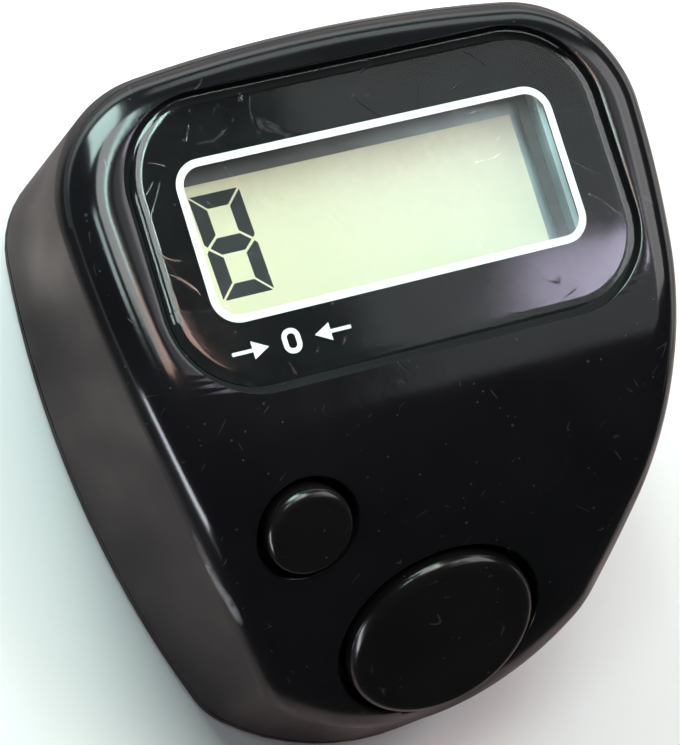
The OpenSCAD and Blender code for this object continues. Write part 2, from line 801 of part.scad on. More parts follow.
// Main board and what it carries
module main_board() {
    board_h = board_high - board_low;
    color([0.08, 0.3, 0.14]) at_view() difference() {
        translate([0, (board_high + board_low) / 2, 0])
            round_plate(board_w, board_h, board_corner, board_bottom, board_top);
        four(screw_x, screw_v)
            translate([0, 0, board_bottom - over])
                cylinder(r = small_shaft_r + fit_gap, h = board_t + 2 * over);
    }
}
module chip_blob() {
    cap_r = (blob_r * blob_r + blob_h * blob_h) / (2 * blob_h);
    color([0.04, 0.04, 0.04]) at_view() intersection() {
        translate([blob_x, blob_v, board_bottom - blob_h + cap_r]) sphere(r = cap_r);
        box([blob_x - blob_r - over, blob_v - blob_r - over, board_bottom - blob_h - over],
            [blob_x + blob_r + over, blob_v + blob_r + over, board_bottom]);
    }
}
module crystal_can() {
    color([0.75, 0.76, 0.78]) at_view() {
        translate([can_x, can_v, board_bottom - can_r]) rotate([-90, 0, 0]) cylinder(r = can_r, h = can_len);
        for (s = [-1, 1]) translate([can_x + s * can_r / 2, can_v, board_bottom])
            box([-bead / 2, -can_r, -can_r], [bead / 2, 0, 0]);
    }
}
module board_capacitors() {
    color([0.6, 0.45, 0.3]) at_view() for (i = [0:2])
        translate([capacitor_x + i * chip_pitch, capacitor_v, board_bottom - chip_t])
            box([-chip_w / 2, -chip_h / 2, 0], [chip_w / 2, chip_h / 2, chip_t]);
}
module board_resistors() {
    color([0.05, 0.05, 0.06]) at_view() for (i = [0:2])
        translate([resistor_x + i * chip_pitch / 2, resistor_v, board_bottom - chip_t / 2])
            box([-chip_h / 2, -chip_w / 2, 0], [chip_h / 2 - bead / 2, chip_w / 2, chip_t / 2]);
}
module board_screws() {
    color([0.7, 0.7, 0.72]) at_view() four(screw_x, screw_v) translate([0, 0, board_bottom])
        screw(small_head_r, small_head_t, small_shaft_r, board_t + small_len - fit_gap);
}

// Key caps and their stems
module key_cap(r, edge, proud, stem, press, rim, rim_t, high) {
    top = proud - cap_t;
    low = high - rim_t;
    rotate_extrude()
        polygon(concat([[0, proud], [0, press], [stem, press], [stem, top], [r - cap_wall, top]],
            [[r - cap_wall, low], [rim, low], [rim, high], [r, high]],
            arc([r - edge, proud - edge], edge, 0, 90, round_steps / 2)));
}
module count_button() {
    color([0.05, 0.05, 0.06]) at_count() difference() {
        key_cap(count_r, cap_edge, count_proud, stem_r, count_press, flange_r, flange_t, flange_top);
        box([-flange_r - over, -flange_r - over, flange_top - flange_t - over],
            [flange_r + over, flange_cut, flange_top + eps_gap]);
    }
}
module reset_button() {
    color([0.05, 0.05, 0.06]) at_reset()
        key_cap(reset_r, reset_edge, reset_proud, reset_stem_r, reset_press, reset_flange_r,
            reset_flange_t, flange_top - reset_flange_drop);
}

// Key switches: plunger, metal cover, base with its well, snap disc and leads
module plunger(r, press, cover) {
    flange_low = cover - cover_t - seat_gap - plunger_flange_t;
    translate([0, 0, flange_low]) cylinder(r = r + plunger_flange, h = plunger_flange_t);
    translate([0, 0, flange_low - plunger_tail]) cylinder(r = r, h = press - flange_low + plunger_tail);
}
module switch_cover(w, r, cover) {
    difference() {
        box([-w / 2, -w / 2, cover - cover_t], [w / 2, w / 2, cover]);
        translate([0, 0, cover - cover_t - over]) cylinder(r = r + seat_gap, h = cover_t + 2 * over);
    }
}
module switch_base(w, well_r, top, body_t) {
    difference() {
        box([-w / 2, -w / 2, top - body_t], [w / 2, w / 2, top]);
        translate([0, 0, top - body_t + switch_floor]) cylinder(r = well_r, h = body_t);
    }
}
module snap_disc(well_r, top, body_t) {
    translate([0, 0, top - body_t + switch_floor]) cylinder(r = well_r - fit_gap, h = disc_t);
}
module leads(w, board) {
    for (s = [-1, 1], v = [-w / 4, w / 4])
        side(s) box([w / 2, v - lead_w / 2, board], [w / 2 + lead_len, v + lead_w / 2, board + lead_t]);
}
module count_plunger() {
    color([0.85, 0.85, 0.82]) at_count() plunger(count_plunger_r, count_press, count_cover);
}
module count_switch_cover() {
    color([0.75, 0.76, 0.78]) at_count() switch_cover(count_side, count_plunger_r, count_cover);
}
module count_switch_base() {
    color([0.1, 0.1, 0.1]) at_count()
        switch_base(count_side, count_well_r, count_cover - cover_t, count_body_t);
}
module count_snap_disc() {
    color([0.8, 0.8, 0.82]) at_count() snap_disc(count_well_r, count_cover - cover_t, count_body_t);
}
module count_leads() {
    color([0.8, 0.8, 0.82]) at_count() leads(count_side, count_board_top);
}
module count_board() {
    color([0.08, 0.3, 0.14]) at_count() difference() {
        box([-count_board_w / 2, -count_board_h / 2, count_seat],
            [count_board_w / 2, count_board_h / 2, count_board_top]);
        for (s = [-1, 1]) translate([s * count_pin_x, 0, count_seat - over])
            cylinder(r = pin_r + pin_gap, h = key_board_t + 2 * over, $fn = 24);
    }
}
module reset_plunger() {
    color([0.85, 0.85, 0.82]) at_reset() plunger(reset_plunger_r, reset_press, reset_cover);
}
module reset_switch_cover() {
    color([0.75, 0.76, 0.78]) at_reset() switch_cover(reset_side, reset_plunger_r, reset_cover);
}
module reset_switch_base() {
    color([0.1, 0.1, 0.1]) at_reset()
        switch_base(reset_side, reset_well_r, reset_cover - cover_t, reset_body_t);
}
module reset_snap_disc() {
    color([0.8, 0.8, 0.82]) at_reset() snap_disc(reset_well_r, reset_cover - cover_t, reset_body_t);
}
module reset_leads() {
    color([0.8, 0.8, 0.82]) at_reset() leads(reset_side, reset_board_top);
}
module reset_board() {
    color([0.08, 0.3, 0.14]) at_reset() difference() {
        box([-reset_board_w / 2, -reset_board_h / 2, reset_seat],
            [reset_board_w / 2, reset_board_h / 2, reset_board_top]);
        translate([reset_pin_x, reset_pin_v, reset_seat - over])
            cylinder(r = pin_r + pin_gap, h = key_board_t + 2 * over, $fn = 24);
    }
}

// A block under a sloping seat, as the side view from the seat's lower to its upper edge
module wedge(low, high, w, floor_z) {
    translate([low[0] - w / 2, 0, 0]) rotate([90, 0, 90]) linear_extrude(w)
        polygon([[low[1], low[2]], [high[1], high[2]], [high[1], floor_z], [low[1], floor_z]]);
}
module key_frame() {
    reset_low = from_reset([0, -reset_wedge_h / 2, reset_seat]);
    reset_high = from_reset([0, reset_wedge_h / 2, reset_seat]);
    color([0.75, 0.75, 0.72]) {
        difference() {
            union() {
                wedge(from_count([0, -count_wedge_h / 2, count_seat]),
                    from_count([0, count_wedge_h / 2, count_seat]), count_wedge_w, count_wedge_floor);
                for (s = [-1, 1]) {
                    side(s) box([arm_in, arm_tip, deck_low], [arm_out, bar_low + deck_t, deck_low + deck_t]);
                    translate([s * foot_x, foot_y, foot_low + seat_gap])
                        cylinder(r = foot_boss_r, h = deck_low + deck_t - foot_low - seat_gap);
                }
                box([-bar_w / 2, bar_low, deck_low], [bar_w / 2, bar_high, deck_low + deck_t]);
                wedge(reset_low, reset_high, reset_wedge_w, deck_low);
            }
            box([reset_x - reset_wedge_w / 2 + core_wall, reset_low[1] + core_wall, deck_low - over],
                [reset_x + reset_wedge_w / 2 - core_wall, reset_high[1] - core_wall,
                    deck_low + reset_wedge_core]);
            for (s = [-1, 1]) translate([s * foot_x, foot_y, foot_low])
                cylinder(r = long_shaft_r + fit_gap, h = long_len);
        }
        at_count() for (s = [-1, 1]) translate([s * count_pin_x, 0, count_seat - pin_head])
            cylinder(r = pin_r, h = key_board_t + 2 * pin_head, $fn = 24);
        at_reset() translate([reset_pin_x, reset_pin_v, reset_seat - pin_head])
            cylinder(r = pin_r, h = key_board_t + 2 * pin_head, $fn = 24);
    }
}
module key_screws() {
    color([0.7, 0.7, 0.72]) for (s = [-1, 1]) translate([s * foot_x, foot_y, deck_low + deck_t])
        mirror([0, 0, 1]) screw(long_head_r, long_head_t, long_shaft_r, long_len);
}

// Wires, as routes from solder joint to solder joint
module board_wire(points, to) {
    wire(concat(points, [for (h = [joint_len, 0]) from_view([to[0], to[1], board_bottom - h])]), wire_r);
}
module count_wires() {
    color([0.7, 0.1, 0.08]) for (i = [0, 1]) {
        x = count_wire_x - i * wire_step;
        v = count_board_h / 2 - wire_r - 2 * fit_gap;
        start = [for (h = [0, joint_len]) from_count([x, v, count_board_top + h])];
        board_wire(concat(start, [for (p = count_route) [x + p[0], p[1], p[2]]]),
            [x + count_wire_shift, board_low + wire_edge]);
    }
}
module reset_wires() {
    u = reset_side / 2 + wire_r + seat_gap;
    color([0.85, 0.75, 0.1]) for (i = [0, 1]) {
        x = reset_wire_x + i * wire_step;
        start = [for (h = [0, joint_len]) from_reset([u, reset_wire_v * (1 - i), reset_board_top + h])];
        board_wire(concat(start, [for (p = reset_routes[i]) [x, p[0], p[1]]]), [x, board_low + wire_edge]);
    }
}
module plus_wire() {
    x = cell_r + eps_gap + leaf_t / 2;
    y = cell_y - leaf_w / 3;
    color([0.75, 0.08, 0.06]) board_wire([[x, y, leaf_tab_top], [x, y, leaf_wire_top]],
        [x + leaf_wire_shift, plus_wire_v]);
}
module minus_wire() {
    x = -leaf_len / 2 - leaf_t / 2;
    color([0.05, 0.05, 0.05]) board_wire([[x, cell_y, leaf_tab_top], [x, cell_y, leaf_wire_top]],
        [x - leaf_wire_shift, minus_wire_v]);
}

// Button cell and its contacts
module cell_can() {
    color([0.78, 0.78, 0.8]) translate([0, cell_y, cell_low]) difference() {
        cylinder(r = cell_r, h = can_top);
        translate([0, 0, can_wall]) cylinder(r = cell_r - can_wall, h = can_top);
    }
}
module cell_gasket() {
    color([0.2, 0.35, 0.2]) translate([0, cell_y, cell_low + can_wall]) difference() {
        cylinder(r = cell_r - can_wall, h = can_top - can_wall);
        translate([0, 0, gasket_t]) cylinder(r = cell_r - can_wall - gasket_t, h = can_top);
    }
}
module cell_cap() {
    color([0.8, 0.8, 0.82]) translate([0, cell_y, cell_low + can_wall + gasket_t])
        cylinder(r = cell_r - can_wall - gasket_t, h = cell_h - can_wall - gasket_t);
}
module plus_contact() {
    inner = cell_r + eps_gap;
    color([0.8, 0.7, 0.4]) translate([0, cell_y, 0]) {
        box([inner, -leaf_w / 2, ring_top + fit_gap], [inner + leaf_t, leaf_w / 2, leaf_tab_top]);
    }
}
module minus_contact() {
    cell_top = cell_low + cell_h;
    color([0.8, 0.7, 0.4]) translate([0, cell_y, 0]) {
        box([-leaf_len / 2, -leaf_w / 2, chamber_roof - leaf_t], [leaf_len / 2, leaf_w / 2, chamber_roof]);
        box([-leaf_len / 2 - leaf_t, -leaf_w / 2, chamber_roof - leaf_t],
            [-leaf_len / 2, leaf_w / 2, leaf_tab_top]);
        translate([0, 0, cell_top]) cylinder(r = leaf_nose_r, h = chamber_roof - leaf_t - cell_top);
    }
}
module case_screws() {
    color([0.7, 0.7, 0.72]) case_screw_places() translate([0, 0, head_low + case_head_t])
        screw(case_head_r, case_head_t, long_shaft_r, case_len);
}

top_shell();
back_cover();
battery_door();
door_seal();
lens_panel();
lens_mask();
window_border();
reset_sign();
lens_tape();
lcd_front_polarizer();
lcd_front_glass();
lcd_segments();
lcd_seal();
lcd_rear_glass();
lcd_reflector();
lcd_holder();
zebra_strip();
main_board();
chip_blob();
crystal_can();
board_capacitors();
board_resistors();
board_screws();
key_frame();
key_screws();
count_button();
count_plunger();
count_switch_cover();
count_switch_base();
count_snap_disc();
count_leads();
count_board();
reset_button();
reset_plunger();
reset_switch_cover();
reset_switch_base();
reset_snap_disc();
reset_leads();
reset_board();
count_wires();
reset_wires();
plus_wire();
minus_wire();
cell_can();
cell_gasket();
cell_cap();
plus_contact();
minus_contact();
case_screws();
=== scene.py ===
# Looks of the finger tally counter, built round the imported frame
import json
import math

import bmesh
import bpy
from mathutils import Matrix, Vector
from mathutils.bvhtree import BVHTree


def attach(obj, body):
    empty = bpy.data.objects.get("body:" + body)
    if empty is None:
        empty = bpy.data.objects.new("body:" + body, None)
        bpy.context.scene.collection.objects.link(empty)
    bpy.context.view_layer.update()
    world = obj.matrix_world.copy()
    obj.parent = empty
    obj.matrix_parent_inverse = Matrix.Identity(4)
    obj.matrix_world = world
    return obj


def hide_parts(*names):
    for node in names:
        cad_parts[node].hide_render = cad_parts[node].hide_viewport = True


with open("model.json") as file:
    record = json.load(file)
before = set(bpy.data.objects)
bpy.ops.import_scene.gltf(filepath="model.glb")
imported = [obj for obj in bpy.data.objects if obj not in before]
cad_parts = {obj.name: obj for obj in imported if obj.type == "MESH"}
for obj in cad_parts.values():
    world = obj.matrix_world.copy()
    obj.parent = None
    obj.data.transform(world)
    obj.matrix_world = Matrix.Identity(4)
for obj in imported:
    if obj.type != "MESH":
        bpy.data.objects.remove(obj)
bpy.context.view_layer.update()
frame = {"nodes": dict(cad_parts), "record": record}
nodes = frame["nodes"]
MM = 0.001

# Driving sizes of the case in millimetres, as in the part's source
CASE_LENGTH, CASE_HEIGHT, WALL, RIM_R, BACK_T = 36, 20.2, 1.4, 2.0, 1.2
TIP_R, HIP_R, FLANK_R, END_R = 13.15, 4.0, 54.3, 78.7
CORNER_R, BASE_CORNER_R, TIP_LEAN, END_LEAN = 6.42, 4.93, 0.9, 1.8
CREST_Y, ARCH_R, VIEW_TILT, SLOPE_TILT = 1.65, 15.1, math.radians(8.1), math.radians(43)
HIP_TO, HIP_FROM, BASE_HIP_FROM = math.radians(50.1), math.radians(27.4), math.radians(22.5)
VIEW_Y, COUNT_Y, RESET_X, RESET_Y, RESET_TILT = 8.73, -12.47, -7.53, -5.62, math.radians(28)
LENS_W, LENS_H, LENS_CORNER, LENS_T, LENS_PROUD, LENS_GAP = 24.84, 14.56, 4.4, 1.0, 0.15, 0.22
LENS_X, LENS_V, OPEN_W, OPEN_H, OPEN_CORNER = 0.18, -0.12, 21.2, 9, 1.2
PAN_TOP, PAN_BOTTOM, PAN_WALL, PAN_KEEP = -1.0, -2.0, 1.0, 0.7

# Keys: cap, stem and the flange that holds each one in
COUNT_R, COUNT_GAP, COUNT_PROUD, COUNT_STEM, COUNT_PRESS = 5.1, 0.4, 0.75, 1.0, -4.4
COUNT_FLANGE_R, COUNT_FLANGE_T, COUNT_FLANGE_DROP, COUNT_FLAT = 5.95, 0.6, 0, -3.4
RESET_R, RESET_GAP, RESET_PROUD, RESET_STEM, RESET_PRESS = 2.25, 0.4, 0.55, 0.8, -3.9
RESET_FLANGE_R, RESET_FLANGE_T, RESET_FLANGE_DROP = 2.95, 0.5, 0.4
CAP_T, CAP_WALL, CAP_CROWN, KEY_HOLE_FLOOR = 1.0, 0.8, 0.04, -4

# Fine edges of the scene: how far in and down each cap rolls, the mouths of the holes, the panel and the seam
COUNT_ROLL, RESET_ROLL = (0.8, 0.66), (0.55, 0.45)
LENS_MOUTH, COUNT_MOUTH, RESET_MOUTH = 0.09, 0.22, 0.2
LENS_ROLL_R, LENS_ROLL_TURN, LENS_ROLL_FROM = 1.3, math.radians(25), 0.62
SEAM = ((0, 0.14), (0.02, 0.06), (0.07, 0.012), (0.14, 0))

# Steps along the tip, hip, flank, corner and end of the outline, round the rim and round the small arcs
STEPS = (22, 14, 60, 30, 14)
RIM_STEPS, ROLL_STEPS, LENS_STEPS = 14, 12, 10


def unit(a):
    return Vector((math.cos(a), math.sin(a)))


def arc(c, r, a, b, n):
    return [c + r * unit(a + (b - a) * i / n) for i in range(n + 1)]


def meet(c, r, d, s):
    """The crossing of two circles on the +X side."""
    gap = (d - c).length
    along = (gap * gap + r * r - s * s) / (2 * gap)
    way = (d - c) / gap
    side = math.sqrt(r * r - along * along) * Vector((way.y, -way.x))
    return max(c + along * way + side, c + along * way - side, key=lambda p: p.x)


def half_outline(tip, end, hip, corner, inset):
    """Right half of the case outline from tip to display end, moved in by inset."""
    tip_c = Vector((0, tip + TIP_R))
    hip_c = tip_c + (TIP_R - HIP_R) * unit(-HIP_TO)
    flank_c = hip_c + (HIP_R - FLANK_R) * unit(-hip)
    end_c = Vector((0, end - END_R))
    corner_c = meet(end_c, END_R - corner, flank_c, FLANK_R - corner)
    flank_a = math.atan2((corner_c - flank_c).y, (corner_c - flank_c).x)
    end_a = math.atan2((corner_c - end_c).y, (corner_c - end_c).x)
    n = STEPS
    return (
        arc(tip_c, TIP_R - inset, -math.pi / 2, -HIP_TO, n[0])
        + arc(hip_c, HIP_R - inset, -HIP_TO, -hip, n[1])[1:]
        + arc(flank_c, FLANK_R - inset, -hip, flank_a, n[2])[1:]
        + arc(corner_c, corner - inset, flank_a, end_a, n[3])[1:]
        + arc(end_c, END_R - inset, end_a, math.pi / 2, n[4])[1:]
    )


def face_half(inset):
    return half_outline(-CASE_LENGTH / 2 + TIP_LEAN, CASE_LENGTH / 2, HIP_FROM, CORNER_R, inset)


def base_half(inset):
    return half_outline(-CASE_LENGTH / 2, CASE_LENGTH / 2 - END_LEAN, BASE_HIP_FROM, BASE_CORNER_R, inset)


def face_z(y, inset=0.0):
    """Height of the arched face."""
    r, top = ARCH_R - inset, CASE_HEIGHT - inset
    high, low = CREST_Y + r * math.sin(VIEW_TILT), CREST_Y - r * math.sin(SLOPE_TILT)
    if y > high:
        return top - r * (1 - math.cos(VIEW_TILT)) - (y - high) * math.tan(VIEW_TILT)
    if y < low:
        return top - r * (1 - math.cos(SLOPE_TILT)) - (low - y) * math.tan(SLOPE_TILT)
    return top - r + math.sqrt(r * r - (y - CREST_Y) ** 2)


def mirrored(half):
    return half + [Vector((-p.x, p.y, p.z)) for p in half[-2:0:-1]]


def wall_ring(z, inset, rim=RIM_R):
    ring = []
    for f, b in zip(face_half(inset), base_half(inset)):
        p = b + (f - b) * z / (face_z(f.y, inset) - rim)
        ring.append(Vector((p.x, p.y, z)))
    return mirrored(ring)


def rim_ring(a, inset, rim):
    ring = []
    for p in face_half(inset + rim * (1 - math.cos(a))):
        ring.append(Vector((p.x, p.y, face_z(p.y, inset) - rim * (1 - math.sin(a)))))
    return mirrored(ring)


# Mesh helpers, in millimetres up to the moment an object is made
def loft(bm, rings, low_cap=True, high_cap=True, strips=False):
    """Joins closed rings of points with quads. Strips close the top with bands across the case."""
    rows = [[bm.verts.new(p) for p in ring] for ring in rings]
    n = len(rings[0])
    for a, b in zip(rows, rows[1:]):
        for i in range(n):
            j = (i + 1) % n
            bm.faces.new((a[i], a[j], b[j], b[i]))
    if low_cap:
        bm.faces.new(rows[0][::-1])
    if high_cap and strips:
        t, h = rows[-1], n // 2
        bm.faces.new((t[0], t[1], t[n - 1]))
        for i in range(1, h - 1):
            bm.faces.new((t[i], t[i + 1], t[n - i - 1], t[n - i]))
        bm.faces.new((t[h - 1], t[h], t[h + 1]))
    elif high_cap:
        bm.faces.new(rows[-1])


def body(rings, **kind):
    bm = bmesh.new()
    loft(bm, rings, **kind)
    return bm


def object_from(bm, name):
    """A new object from a bmesh drawn in millimetres, with outward faces."""
    bmesh.ops.recalc_face_normals(bm, faces=bm.faces)
    bm.transform(Matrix.Scale(MM, 4))
    mesh = bpy.data.meshes.new(name)
    bm.to_mesh(mesh)
    bm.free()
    obj = bpy.data.objects.new(name, mesh)
    bpy.context.scene.collection.objects.link(obj)
    return obj


def settle(obj):
    """Turns what the modifiers make of obj into its mesh."""
    bpy.context.view_layer.update()
    mesh = bpy.data.meshes.new_from_object(obj.evaluated_get(bpy.context.evaluated_depsgraph_get()))
    obj.modifiers.clear()
    old, obj.data = obj.data, mesh
    mesh.name = obj.name
    bpy.data.meshes.remove(old)


def carve(obj, *cutters, operation="DIFFERENCE"):
    """Cuts, joins or meets obj with the cutters, which are used up."""
    for cutter in cutters:
        mod = obj.modifiers.new("cut", "BOOLEAN")
        mod.operation, mod.solver, mod.object = operation, "EXACT", cutter
        settle(obj)
        bpy.data.objects.remove(cutter)


def smooth(obj, angle=32):
    """Smooth shading with the sharp edges kept sharp, led by the large faces, so that fillets stay narrow."""
    obj.data.shade_smooth()
    obj.data.set_sharp_from_angle(angle=math.radians(angle))
    mod = obj.modifiers.new("lead", "WEIGHTED_NORMAL")
    mod.mode, mod.weight, mod.keep_sharp = "FACE_AREA", 80, True
    settle(obj)


def frame_at(x, y, tilt):
    """The frame of the display or a key on the face, with +Z outward."""
    return Matrix.Translation((x, y, face_z(y))) @ Matrix.Rotation(tilt, 4, "X")


AT_VIEW = frame_at(0, VIEW_Y, -VIEW_TILT)
AT_LENS = AT_VIEW @ Matrix.Translation((LENS_X, LENS_V, 0))
AT_COUNT = frame_at(0, COUNT_Y, SLOPE_TILT)
AT_RESET = frame_at(RESET_X, RESET_Y, RESET_TILT)


def round_path(w, h, r, n=14):
    """Closed path of a rectangle with rounded corners."""
    c = [Vector((w / 2 - r, h / 2 - r)), Vector((r - w / 2, h / 2 - r))]
    c += [-c[0], -c[1]]
    path = []
    for k in range(4):
        path += arc(c[k], r, k * math.pi / 2, (k + 1) * math.pi / 2, n)
    return path


def circle_path(r, n=96):
    return [r * unit(2 * math.pi * i / n) for i in range(n)]


def lift(path, z):
    return [Vector((p.x, p.y, z)) for p in path]


def plate(bm, path_of, levels, at):
    """Lofts a path that depends on an offset through (offset, z) levels, in a frame."""
    loft(bm, [[at @ p for p in lift(path_of(o), z)] for o, z in levels])


def skin_cutter(tree, path_of, floor, edge, at, name):
    """A cutter whose mouth rolls over onto the skin with a fillet of radius edge."""
    way = (at.to_3x3() @ Vector((0, 0, -1))).normalized()

    def on_skin(q, drop):
        start = at @ Vector((q.x, q.y, 12))
        hit = tree.ray_cast(start, way)[0]
        z = 12 - (hit - start).length if hit else -drop
        return Vector((q.x, q.y, z))

    rings = [lift(path_of(0), floor)]
    rise = edge * 0.06
    for k in range(7):
        a = math.pi / 2 * k / 6
        out = edge * (1 - math.cos(a))
        rings.append([on_skin(q, 9) + Vector((0, 0, rise - edge * (1 - math.sin(a)))) for q in path_of(out)])
    rings.append([p + Vector((0, 0, 3)) for p in rings[-1]])
    bm = bmesh.new()
    loft(bm, [[at @ p for p in ring] for ring in rings])
    return object_from(bm, name)


# Case shell, with a fine seam over the back cover
outer = [wall_ring(BACK_T + rise, inset) for rise, inset in SEAM]
outer += [wall_ring(z, 0) for z in (2.0, 3.2, 4.4)]
outer += [rim_ring(math.pi / 2 * k / RIM_STEPS, 0, RIM_R) for k in range(RIM_STEPS + 1)]
skin = body(outer, strips=True)
tree = BVHTree.FromBMesh(skin)
shell = object_from(skin, "case_shell")
hollow = [wall_ring(BACK_T - 1, WALL, RIM_R - WALL)]
hollow += [rim_ring(a, WALL, RIM_R - WALL) for a in (0, math.pi / 4, math.pi / 2)]
carve(shell, object_from(body(hollow, strips=True), "hollow"))



def pan_path(o):
    lip = LENS_GAP + PAN_WALL + o
    return round_path(LENS_W + 2 * lip, LENS_H + 2 * lip, LENS_CORNER + lip)


pan = bmesh.new()
plate(pan, pan_path, [(0, PAN_BOTTOM), (0, 0.5)], AT_LENS)
pan = object_from(pan, "pan")
keep = [wall_ring(BACK_T, PAN_KEEP, RIM_R - PAN_KEEP)]
keep += [rim_ring(a, PAN_KEEP, RIM_R - PAN_KEEP) for a in (0, math.pi / 4, math.pi / 2)]
carve(pan, object_from(body(keep, strips=True), "keep"), operation="INTERSECT")
carve(shell, pan, operation="UNION")


def lens_path(o):
    g = 2 * LENS_GAP + 2 * o
    return round_path(LENS_W + g, LENS_H + g, LENS_CORNER + LENS_GAP + o, 20)


def count_hole(o):
    return circle_path(COUNT_R + COUNT_GAP + o, 128)


def reset_hole(o):
    return circle_path(RESET_R + RESET_GAP + o)


carve(shell, skin_cutter(tree, lens_path, PAN_TOP, LENS_MOUTH, AT_LENS, "recess_cut"))
carve(shell, skin_cutter(tree, count_hole, KEY_HOLE_FLOOR, COUNT_MOUTH, AT_COUNT, "count_cut"))
carve(shell, skin_cutter(tree, reset_hole, KEY_HOLE_FLOOR, RESET_MOUTH, AT_RESET, "reset_cut"))
opening = bmesh.new()
plate(opening, lambda o: round_path(OPEN_W, OPEN_H, OPEN_CORNER), [(0, PAN_BOTTOM - 1), (0, 0)], AT_VIEW)
carve(shell, object_from(opening, "opening"))
smooth(shell, 34)


# Materials
def material(name):
    mat = bpy.data.materials.new(name)
    mat.use_nodes = True
    tree_ = mat.node_tree
    return mat, tree_, tree_.nodes["Principled BSDF"]


def noise(nt, scale, detail=3.0, coords=None, rough=0.55):
    n = nt.nodes.new("ShaderNodeTexNoise")
    n.inputs["Scale"].default_value = scale
    n.inputs["Detail"].default_value = detail
    n.inputs["Roughness"].default_value = rough
    nt.links.new(coords or place(nt), n.inputs["Vector"])
    return n.outputs["Fac"]


def place(nt):
    """The point's place on the object at rest, in metres."""
    return nt.nodes.new("ShaderNodeTexCoord").outputs["Object"]


def stretch(nt, factors, turn=(0, 0, 0)):
    n = nt.nodes.new("ShaderNodeMapping")
    n.inputs["Scale"].default_value = factors
    n.inputs["Rotation"].default_value = turn
    nt.links.new(place(nt), n.inputs["Vector"])
    return n.outputs["Vector"]


def spread(nt, value, low, high, to_low, to_high, clamp=True):
    n = nt.nodes.new("ShaderNodeMapRange")
    n.clamp = clamp
    for i, v in enumerate((low, high, to_low, to_high)):
        n.inputs[i + 1].default_value = v
    nt.links.new(value, n.inputs[0])
    return n.outputs[0]


def math_of(nt, kind, a, b):
    n = nt.nodes.new("ShaderNodeMath")
    n.operation = kind
    for i, v in enumerate((a, b)):
        if isinstance(v, (int, float)):
            n.inputs[i].default_value = v
        else:
            nt.links.new(v, n.inputs[i])
    return n.outputs[0]


def times(nt, a, b):
    return math_of(nt, "MULTIPLY", a, b)


def plus(nt, a, b):
    return math_of(nt, "ADD", a, b)


def minus(nt, a, b):
    return math_of(nt, "SUBTRACT", a, b)


def larger(nt, a, b):
    return math_of(nt, "MAXIMUM", a, b)


def mix_colour(nt, factor, a, b):
    n = nt.nodes.new("ShaderNodeMix")
    n.data_type = "RGBA"
    sockets = [s for s in n.inputs if s.type == "RGBA"]
    for s, v in zip(sockets, (a, b)):
        if isinstance(v, tuple):
            s.default_value = (*v, 1)
        else:
            nt.links.new(v, s)
    nt.links.new(factor, n.inputs[0])
    return [s for s in n.outputs if s.type == "RGBA"][0]


def scratches(nt, scale, thin, turn, seed, rare=0.56):
    """Sparse fine lines: a thin band of a stretched and bent noise."""
    n = nt.nodes.new("ShaderNodeTexNoise")
    n.inputs["Scale"].default_value = scale
    n.inputs["Detail"].default_value = 1.0
    n.inputs["Distortion"].default_value = 0.4
    shift = nt.nodes.new("ShaderNodeMapping")
    shift.vector_type = "TEXTURE"
    shift.inputs["Scale"].default_value = (1, 4.5, 1)
    shift.inputs["Rotation"].default_value = turn
    shift.inputs["Location"].default_value = (seed * 0.1, seed * 0.037, seed * 0.071)
    nt.links.new(place(nt), shift.inputs["Vector"])
    nt.links.new(shift.outputs["Vector"], n.inputs["Vector"])
    off = math_of(nt, "ABSOLUTE", minus(nt, n.outputs["Fac"], 0.5), 0)
    line = spread(nt, off, 0, thin, 1, 0)
    where = spread(nt, noise(nt, scale * 1.7, 1.0), rare, rare + 0.06, 0, 1)
    return times(nt, line, where)


def specks(nt, scale, size):
    """Small dust dots of different sizes."""
    v = nt.nodes.new("ShaderNodeTexVoronoi")
    v.inputs["Scale"].default_value = scale
    v.inputs["Randomness"].default_value = 1
    nt.links.new(place(nt), v.inputs["Vector"])
    dot = spread(nt, v.outputs["Distance"], size * 0.5, size, 1, 0)
    pick = nt.nodes.new("ShaderNodeSeparateColor")
    nt.links.new(v.outputs["Color"], pick.inputs[0])
    some = spread(nt, pick.outputs[0], 0.86, 0.9, 0, 1)
    return times(nt, dot, some)


def seat_mask(nt, facing_y):
    """1 on the floor of the panel's recess, which is left dull."""
    away = AT_VIEW.to_3x3() @ Vector((0, 0, 1))
    level = nt.nodes.new("ShaderNodeVectorMath")
    level.operation = "DOT_PRODUCT"
    nt.links.new(place(nt), level.inputs[0])
    level.inputs[1].default_value = away
    deep = (AT_VIEW.translation.dot(away) + PAN_TOP) * MM
    off = math_of(nt, "ABSOLUTE", minus(nt, level.outputs["Value"], deep), 0)
    near = spread(nt, off, 0.05 * MM, 0.1 * MM, 1, 0)
    return times(nt, near, spread(nt, facing_y, 0.05, 0.1, 0, 1))


def wear_and_highlight_spot(nt, spot, way, half):
    """A long pale spot along an edge, broken up by noise: wear with a painted highlight."""
    shift = nt.nodes.new("ShaderNodeMapping")
    shift.vector_type = "TEXTURE"
    shift.inputs["Location"].default_value = Vector(spot) * MM
    shift.inputs["Rotation"].default_value = Vector(way).to_track_quat("X", "Z").to_euler()
    shift.inputs["Scale"].default_value = Vector(half) * MM
    nt.links.new(place(nt), shift.inputs["Vector"])
    far = nt.nodes.new("ShaderNodeVectorMath")
    far.operation = "LENGTH"
    nt.links.new(shift.outputs["Vector"], far.inputs[0])
    near = spread(nt, far.outputs["Value"], 0.45, 1, 1, 0)
    return times(nt, near, spread(nt, noise(nt, 1100, 3), 0.38, 0.56, 0.25, 1))


def bump(nt, shader, height, strength, distance):
    n = nt.nodes.new("ShaderNodeBump")
    n.inputs["Strength"].default_value = strength
    n.inputs["Distance"].default_value = distance
    nt.links.new(height, n.inputs["Height"])
    nt.links.new(n.outputs["Normal"], shader.inputs["Normal"])


